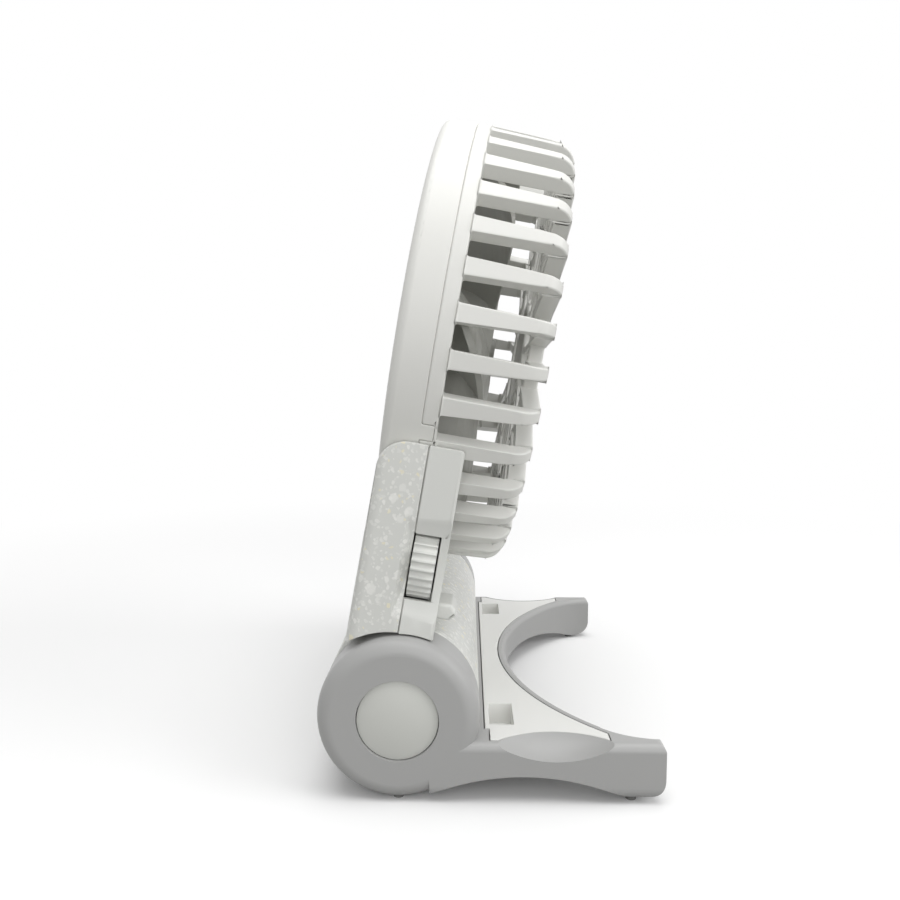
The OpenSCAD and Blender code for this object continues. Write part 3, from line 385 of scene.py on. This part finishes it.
print("materials")
plastics = {
    # colour, colour of its cloudy places, roughness, nodes that are moulded in it
    "white shell plastic": (
        "#e6e6e2", "#e0e0db", 0.42, ["head_back_shell", "front_grille", "grille_hub_cap"]
    ),
    "plain front plastic": (
        "#dddeda", "#d7d8d3", 0.45, ["handle_front_cover", "latch_hooks", "thumbwheel"]
    ),
    "white plate plastic": ("#e8e8e5", "#e0e0dc", 0.4, ["base_plate"]),
    "grey base plastic": ("#acacab", "#a5a5a4", 0.4, ["base_yoke"]),
    "grey blade plastic": ("#a9a9a3", "#9e9e98", 0.34, ["impeller"]),
    "cap plastic": ("#cfd0cb", "#c8c9c3", 0.36, ["knuckle_caps"]),
    "black plastic": ("#29292b", "#232325", 0.5, ["speed_control"]),
    "plug plastic": ("#c9cac5", "#c1c2bc", 0.5, ["barrel_end_plugs"]),
    "bush plastic": ("#d9d3bd", "#cfc9b2", 0.35, ["hinge_bushes"]),
    "cell sleeve film": ("#3e77a6", "#34699a", 0.3, ["battery_cell"]),
    "lead sleeve": ("#b03328", "#9c2a20", 0.5, ["motor_leads"]),
}
screwsAndPins = ["base_plate_screws", "handle_screws", "motor_screws", "hinge_screws", "hinge_pins"]
motorSteel = ["motor_base", "motor_stator", "motor_bearings", "rotor_can"]
metals = {
    # colour, colour of its tarnish, roughness, nodes that are made of it
    "brushed steel": ("#b9bbbd", "#a2a4a7", 0.32, [*screwsAndPins, "motor_shaft", "usb_socket"]),
    "rolled steel": (
        "#8b8e91", "#74777a", 0.4, ["friction_washers", "thumbwheel_shaft", *motorSteel]
    ),
    "ground ferrite": ("#5a5c5f", "#4b4d50", 0.6, ["rotor_magnet"]),
    "sprung brass": ("#cbb277", "#b59c60", 0.3, ["battery_contacts"]),
}


def finished(material, names):
    for name in names:
        nodes[name].data.materials.clear()
        nodes[name].data.materials.append(material)


for name, (color, shade, roughness, madeOfIt) in plastics.items():
    finished(mouldedPlastic(name, color, shade, roughness), madeOfIt)
finished(speckledPlastic("speckled shell plastic"), ["handle_back_cover"])
for name, (color, shade, roughness, madeOfIt) in metals.items():
    finished(brushedMetal(name, color, shade, roughness), madeOfIt)
finished(footRubber("foot rubber"), ["rubber_feet"])
finished(circuitBoard("circuit board"), ["control_board", "charging_board"])
finished(windings("wound copper wire"), ["motor_coils"])

print("moulded shells with soft edges")
samePoint = 0.002 * mm  # points closer than this are one point
stillSmooth = 8  # degrees more than the least rounded edge, from where an edge shades sharp
softEdges = {
    # node: body, slot of the record, width of the rounding, rows of faces over it,
    # least angle of an edge in degrees
    "front_grille": ("head", "white_shell", 0.4 * mm, 3, 34),
    "knuckle_caps": ("base", "white_shell", 0.1 * mm, 1, 34),
    "head_back_shell": ("head", "white_shell", 0.2 * mm, 2, 34),
    "handle_front_cover": ("head", "white_shell", 0.16 * mm, 2, 34),
    "handle_back_cover": ("head", "speckled_shell", 0.16 * mm, 2, 34),
    "base_plate": ("base", "white_shell", 0.12 * mm, 2, 34),
    "thumbwheel": ("dial", "white_shell", 0.08 * mm, 1, 30),
    "latch_hooks": ("head", "white_shell", 0.7 * mm, 3, 30),
}


def softened(name, body, slot, width, rows, angle):
    source = nodes[name]
    build = bmesh.new()
    build.from_mesh(source.data)
    bmesh.ops.remove_doubles(build, verts=build.verts, dist=samePoint)
    mesh = bpy.data.meshes.new(name + "_soft")
    build.to_mesh(mesh)
    build.free()
    piece = bpy.data.objects.new(name + "_soft", mesh)
    bpy.context.scene.collection.objects.link(piece)
    soft = piece.modifiers.new("soft edges", "BEVEL")
    soft.width = width
    soft.segments = rows
    soft.limit_method = "ANGLE"
    soft.angle_limit = math.radians(angle)
    soft.use_clamp_overlap = False
    soft.miter_outer = "MITER_ARC"
    bpy.context.view_layer.update()
    evaluated = piece.evaluated_get(bpy.context.evaluated_depsgraph_get())
    shaped = bpy.data.meshes.new_from_object(evaluated)
    piece.modifiers.clear()
    piece.data = shaped
    bpy.data.meshes.remove(mesh)
    shaped.shade_smooth()
    shaped.set_sharp_from_angle(angle=math.radians(angle + stillSmooth))
    shaped.materials.clear()
    shaped.materials.append(source.data.materials[0])
    even = piece.modifiers.new("even normals", "WEIGHTED_NORMAL")
    even.keep_sharp = True
    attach(piece, body)
    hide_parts(name)


for name, values in softEdges.items():
    softened(name, *values)

print("floor and light")
studio = {
    "floorSize": 4.0,
    "floorSeen": "#fcfcfc",
    "floorBounce": "#8e8e8c",
    "floorRoughness": 0.9,
    "clearFrom": 0.12,  # how far out the floor starts to fade, and where it is gone
    "clearTo": 0.34,
    "white": (1, 1, 1, 1),
    "seenStrength": 1.0,
    "lightStrength": 0.4,
    "lamps": [
        # name, place, aimed at, size, power
        ("top softbox", (0.03, -0.1, 0.95), (0, 0, 0.06), 0.8, 5.4),
        ("front softbox", (0.15, -1.0, 0.4), (0, 0, 0.06), 0.8, 3.4),
        ("right softbox", (0.85, -0.25, 0.5), (0, 0, 0.05), 0.6, 3.0),
    ],
}


def facing(direction):
    # a lamp and a camera look down their own -Z axis
    return Vector(direction).to_track_quat("-Z", "Y")


def setUp(name, data, place, direction):
    holder = bpy.data.objects.new(name, data)
    holder.location = place
    holder.rotation_mode = "QUATERNION"
    holder.rotation_quaternion = facing(direction)
    bpy.context.scene.collection.objects.link(holder)
    return holder


for name, place, target, size, power in studio["lamps"]:
    lamp = bpy.data.lights.new(name, "AREA")
    lamp.size = size
    lamp.energy = power
    setUp(name, lamp, place, Vector(target) - Vector(place))


# The floor is white to the camera and fades to the white backdrop, but throws back less light
def paperFloor():
    finish = Finish("paper floor", Roughness=studio["floorRoughness"])
    seen = finish.seenRay()
    color = finish.blend(seen, colorOf(studio["floorBounce"]), colorOf(studio["floorSeen"]))
    finish.set("Base Color", color)
    reach = finish.node(
        "ShaderNodeVectorMath", {"operation": "LENGTH"}, {0: finish.place()}, "Value"
    )
    clear = finish.node(
        "ShaderNodeMapRange",
        {"interpolation_type": "SMOOTHSTEP"},
        {"Value": reach, "From Min": studio["clearFrom"], "From Max": studio["clearTo"]},
    )
    backdrop = finish.node(
        "ShaderNodeEmission", {}, {"Color": studio["white"], "Strength": studio["seenStrength"]}
    )
    paper = Wire(finish, finish.shader.outputs[0])
    surface = finish.node("ShaderNodeMixShader", {}, {0: clear * seen, 1: paper, 2: backdrop})
    finish.join(finish.tree.nodes["Material Output"].inputs["Surface"], surface)
    return finish.material


half = studio["floorSize"] / 2
corners = [(-half, -half, 0), (half, -half, 0), (half, half, 0), (-half, half, 0)]
floorMesh = bpy.data.meshes.new("floor")
floorMesh.from_pydata(corners, [], [(0, 1, 2, 3)])
floorMesh.materials.append(paperFloor())
floor = bpy.data.objects.new("floor", floorMesh)
bpy.context.scene.collection.objects.link(floor)

# The backdrop is white where it is seen, and gives a softer light
world = bpy.data.worlds.new("studio")
bpy.context.scene.world = world
world.use_nodes = True
world.node_tree.nodes.clear()
sky = Wiring(world.node_tree)
softLight, whiteSeen = (
    sky.node("ShaderNodeBackground", {}, {"Color": studio["white"], "Strength": studio[strength]})
    for strength in ("lightStrength", "seenStrength")
)
backdrop = sky.node("ShaderNodeMixShader", {}, {0: sky.seenRay(), 1: softLight, 2: whiteSeen})
sky.node("ShaderNodeOutputWorld", {}, {"Surface": backdrop})

print("camera")
cameraLooks = {
    "focalPixels": 791.6,
    "imagePixels": 900,
    "sensor": 36.0,
    "nearest": 0.01,
    "fromHinge": (12.99, -193.42, 64.9),
    "down": 5.43,
    "left": 1.22,
}
cameraData = bpy.data.cameras.new("camera")
cameraData.sensor_width = cameraLooks["sensor"]
cameraData.lens = cameraLooks["focalPixels"] * cameraLooks["sensor"] / cameraLooks["imagePixels"]
cameraData.clip_start = cameraLooks["nearest"]
down, left = math.radians(cameraLooks["down"]), math.radians(cameraLooks["left"])
forward = (-math.sin(left) * math.cos(down), math.cos(left) * math.cos(down), -math.sin(down))
cameraPlace = hinge + Vector(cameraLooks["fromHinge"]) * mm
bpy.context.scene.camera = setUp("camera", cameraData, cameraPlace, forward)
bpy.context.scene.view_settings.view_transform = "Standard"
